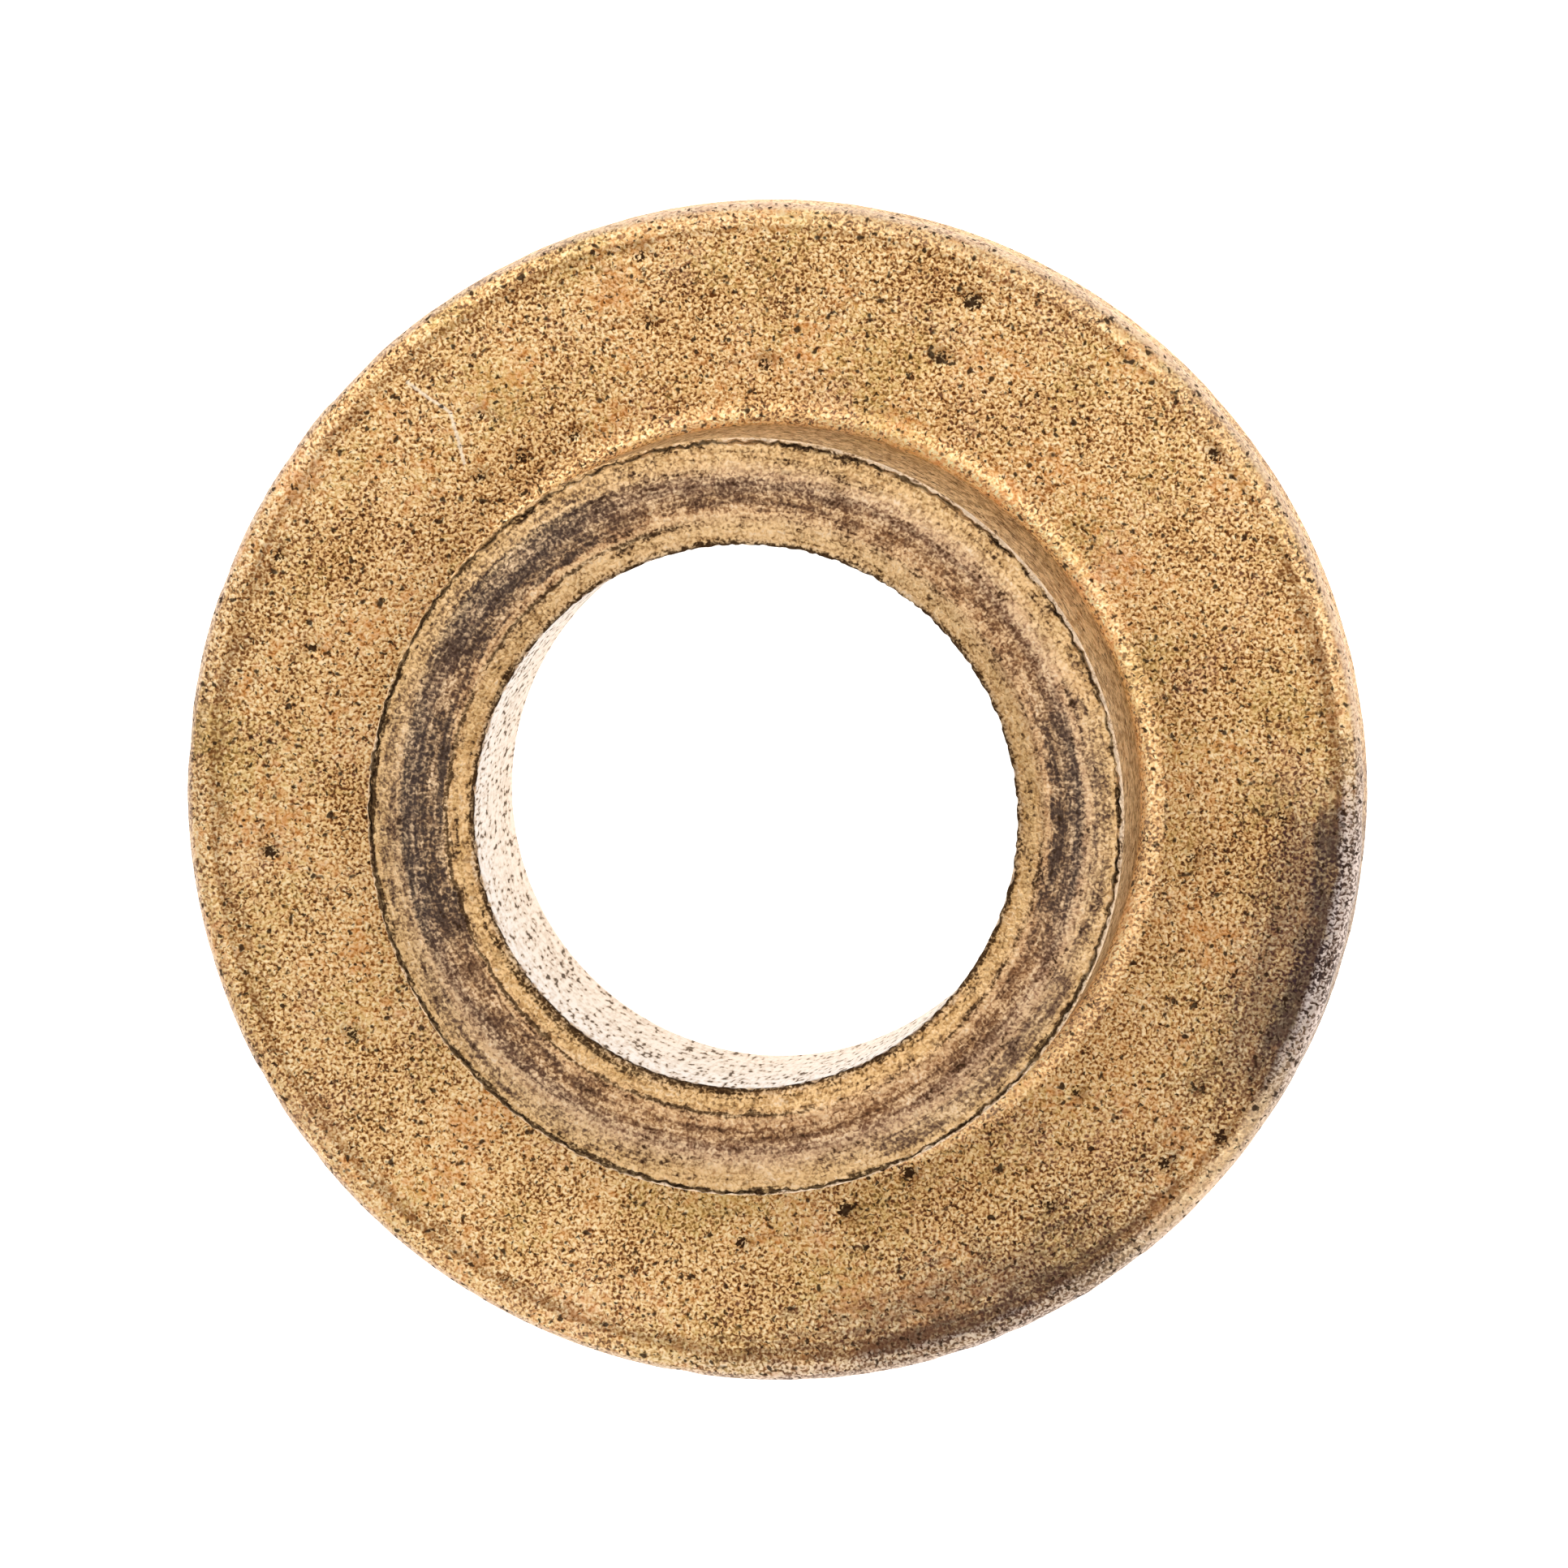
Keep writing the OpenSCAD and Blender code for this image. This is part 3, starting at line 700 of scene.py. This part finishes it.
def hollowShare(at, s):  # how deep each spot lies in a pore or a pit, and the painted shade in the crevice beside the burr
    tree = at.tree
    pore = put(tree, "ShaderNodeMath", [at.drift, grain["poreClump"], at.pore], operation="MULTIPLY_ADD")
    pore = put(tree, "ShaderNodeMapRange", [pore, grain["poreOpen"], grain["poreRim"], 1.0, 0.0], **even)
    vug = put(tree, "ShaderNodeTexNoise", {"Vector": at.spot, "Scale": 1 / grain["vug"], "Detail": 1.0})
    vug = put(tree, "ShaderNodeMapRange", [vug, grain["vugOpen"], grain["vugRim"], 1.0, 0.0], **even)
    pore = put(tree, "ShaderNodeMath", [pore, vug], operation="MAXIMUM")
    share = put(tree, "ShaderNodeMapRange", [at.endFace, 0.0, 1.0, s["flangePores"], s["endPores"]])
    pore = put(tree, "ShaderNodeMath", [pore, share], operation="MULTIPLY")
    speck = put(tree, "ShaderNodeMapRange", [at.speck, s["boredOpen"], s["boredRim"],
                                             s["boredShare"], 0.0])
    pore = put(tree, "ShaderNodeMix", {0: at.inBore, 2: pore, 3: speck})
    pit = put(tree, "ShaderNodeAttribute", out="Fac", attribute_name="pit")
    inPit = put(tree, "ShaderNodeMapRange", [pit, *s["pitReach"], 0.0, 1.0])
    pit = put(tree, "ShaderNodeMath", [at.stroke, -s["pitEdge"], pit], operation="MULTIPLY_ADD")
    pit = put(tree, "ShaderNodeMath", [at.drift, s["pitFray"], pit], operation="MULTIPLY_ADD")
    pit = put(tree, "ShaderNodeMapRange", [pit, *s["pitRange"], 0.0, s["pitShare"]])
    pit = put(tree, "ShaderNodeMath", [pit, inPit], operation="MULTIPLY")
    hollow = put(tree, "ShaderNodeMath", [pore, pit], operation="MAXIMUM")
    # Painted shade in the crevice under the burr
    crevice = put(tree, "ShaderNodeAttribute", out="Fac", attribute_name="crevice")
    inside = put(tree, "ShaderNodeMapRange", [crevice, *s["creviceReach"], 0.0, 1.0])
    crevice = put(tree, "ShaderNodeMath", [at.drift, s["creviceFray"], crevice], operation="MULTIPLY_ADD")
    crevice = put(tree, "ShaderNodeMath", [crevice, stainRound(at, s["creviceOpen"])], operation="ADD")
    crevice = put(tree, "ShaderNodeMapRange", [crevice, *s["creviceRange"], 0.0, s["creviceShare"]])
    crevice = put(tree, "ShaderNodeMath", [crevice, inside], operation="MULTIPLY")
    return put(tree, "ShaderNodeMath", [hollow, crevice], operation="MAXIMUM")


bronze = {
    "metallic": 0.85, "toneRange": (0.3, 0.7), "rough": (0.62, 0.46), "boreRough": 0.28, "hollowRough": 0.6,
    "specular": 0.1, "bumpDepth": 0.03, "bumpShare": 0.5,
}


def sinteredBronze(s):  # matt ochre grain with dark open pores, oil stains and rubbed edges
    material = bpy.data.materials.new("sinteredBronze")
    material.use_nodes = True
    tree = material.node_tree
    tree.nodes.clear()
    at = surfaceFields(tree, grain)
    colour = grainColour(at, grain)
    finishes = [(flangeColour, flangeWear), (rimColour, rimWear), (wallColour, wallFinish),
                (endColour, endWear), (hairlineColour, hairline)]
    for paint, wear in finishes:
        colour = paint(at, colour, wear)
    hollow = hollowShare(at, hollows)
    colour = put(tree, "ShaderNodeMix", {0: hollow, 6: colour, 7: linear(grain["poreColour"])}, **colourMix)

    # Pores are matt and dirty, the rubbed grain is smoother metal
    rough = put(tree, "ShaderNodeMapRange", [at.tone, *s["toneRange"], *s["rough"]])
    rough = put(tree, "ShaderNodeMix", {0: at.inBore, 2: rough, 3: s["boreRough"]})
    rough = put(tree, "ShaderNodeMath", [hollow, s["hollowRough"], rough], operation="MULTIPLY_ADD",
                use_clamp=True)
    metal = put(tree, "ShaderNodeMix", {0: at.inBore, 2: s["metallic"], 3: 1.0})
    dull = put(tree, "ShaderNodeMath", [1.0, hollow], operation="SUBTRACT")
    metal = put(tree, "ShaderNodeMath", [metal, dull], operation="MULTIPLY")
    bumped = put(tree, "ShaderNodeBump", {"Height": at.stroke, "Distance": s["bumpDepth"] * mm,
                                          "Strength": s["bumpShare"]})
    surface = put(tree, "ShaderNodeBsdfPrincipled", {"Base Color": colour, "Metallic": metal,
                                                     "Roughness": rough, "Normal": bumped,
                                                     "Specular IOR Level": s["specular"]})
    put(tree, "ShaderNodeOutputMaterial", {"Surface": surface})
    return material


def buildBushing():
    finish = sinteredBronze(bronze)
    corners = sectionOutline(bushing)
    pits = [polar(angle, radius, part["flangeT"]) for angle, radius, width in flangePits]  # loose points
    points = [Vector((r, 0, z)) * mm for r, z, *rest in corners] + [p * mm for p in pits]
    count = len(corners)
    mesh = bpy.data.meshes.new("bushingOutline")
    mesh.from_pydata(points, [(i, (i + 1) % count) for i in range(count)], [])
    loose = [0.0] * len(pits)
    values = {
        "edgeRadius": [edge * mm for r, z, edge, *rest in corners] + loose,
        "rowWidth": [row * mm for r, z, edge, row, *mark in corners] + loose,
        "pitWidth": [0.0] * count + [width * mm for angle, radius, width in flangePits],
        "crevice": [float("crevice" in corner) for corner in corners] + loose,
        "lip": [float("lip" in corner) for corner in corners] + loose,
    }
    for name, numbers in values.items():
        mesh.attributes.new(name, "FLOAT", "POINT").data.foreach_set("value", numbers)
    maker = bpy.data.objects.new("bushingMaker", mesh)
    bpy.context.scene.collection.objects.link(maker)
    tree, keys = revolvedSection(bushing, finish)
    modifier = maker.modifiers.new("revolve", "NODES")
    modifier.node_group = tree
    for key, value in keys.values():
        modifier[key] = value
    grid = bpy.context.evaluated_depsgraph_get()
    solid = bpy.data.meshes.new_from_object(maker.evaluated_get(grid), depsgraph=grid)
    bpy.data.objects.remove(maker)
    solid.name = "bushing_dressed"
    piece = bpy.data.objects.new("bushing_dressed", solid)
    bpy.context.scene.collection.objects.link(piece)
    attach(piece, "root")
    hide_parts("bushing")
    print("bushing:", len(solid.vertices), "points,", len(solid.polygons), "faces")


studio = {
    "floorW": 1600, "floorDrop": 0.01, "floorColour": "#F4F3F1", "floorGlow": 1.0, "floorRough": 0.9,
    "worldColour": "#FFFFFF", "worldPower": 0.5,
    # Softboxes: place, width and power
    "boxes": [
        ((-330, 330, 420), 420, 1.3),
        ((420, 60, 380), 360, 0.7),
        ((-60, -420, 380), 360, 0.6),
        ((60, 60, 800), 420, 1.2),
    ],
}


def buildStudio():
    scene = bpy.context.scene
    half = studio["floorW"] * mm / 2
    drop = -studio["floorDrop"] * mm
    mesh = bpy.data.meshes.new("floor")
    corners = [(-half, -half, drop), (half, -half, drop), (half, half, drop), (-half, half, drop)]
    mesh.from_pydata(corners, [], [(0, 1, 2, 3)])
    floor = bpy.data.objects.new("floor", mesh)
    scene.collection.objects.link(floor)
    paper = bpy.data.materials.new("matteWhiteBoard")
    paper.use_nodes = True
    board = paper.node_tree.nodes["Principled BSDF"]
    board.inputs["Base Color"].default_value = linear(studio["floorColour"])
    board.inputs["Roughness"].default_value = studio["floorRough"]
    board.inputs["Emission Color"].default_value = linear(studio["floorColour"])
    board.inputs["Emission Strength"].default_value = studio["floorGlow"]
    mesh.materials.append(paper)

    world = bpy.data.worlds.new("studio")
    scene.world = world
    world.use_nodes = True
    sky = world.node_tree.nodes["Background"]
    sky.inputs["Color"].default_value = linear(studio["worldColour"])
    sky.inputs["Strength"].default_value = studio["worldPower"]
    for number, (place, width, power) in enumerate(studio["boxes"]):
        light = bpy.data.lights.new("softbox" + str(number), "AREA")
        light.size = width * mm
        light.energy = power
        lamp = bpy.data.objects.new(light.name, light)
        lamp.location = Vector(place) * mm
        lamp.rotation_euler = Vector(place).to_track_quat("Z", "Y").to_euler()
        scene.collection.objects.link(lamp)
    scene.view_settings.view_transform = "Standard"
    print("studio:", len(studio["boxes"]), "softboxes")


# The camera looks down on the sleeve end, a little off the bore's axis
photo = {
    "framePx": 1932, "pxPerMm": 66.6, "tilt": 7.65, "bearing": 40.8,
    "aim": (0.403, 0.346, 3.25), "distance": 416.5, "sensorW": 36.0,
}


def buildCamera():
    tilt = math.radians(photo["tilt"])
    bearing = math.radians(photo["bearing"])
    back = Vector((math.sin(tilt) * math.cos(bearing), math.sin(tilt) * math.sin(bearing), math.cos(tilt)))
    right = Vector((0, 1, 0)).cross(back).normalized()
    up = back.cross(right)
    data = bpy.data.cameras.new("photoCamera")
    data.sensor_width = photo["sensorW"]
    data.lens = photo["sensorW"] * photo["pxPerMm"] * photo["distance"] / photo["framePx"]
    camera = bpy.data.objects.new("photoCamera", data)
    place = (Vector(photo["aim"]) + back * photo["distance"]) * mm
    camera.matrix_world = Matrix.Translation(place) @ Matrix((right, up, back)).transposed().to_4x4()
    bpy.context.scene.collection.objects.link(camera)
    bpy.context.scene.camera = camera
    print("camera: lens %.0f mm" % data.lens)


buildCamera()
buildBushing()
buildStudio()
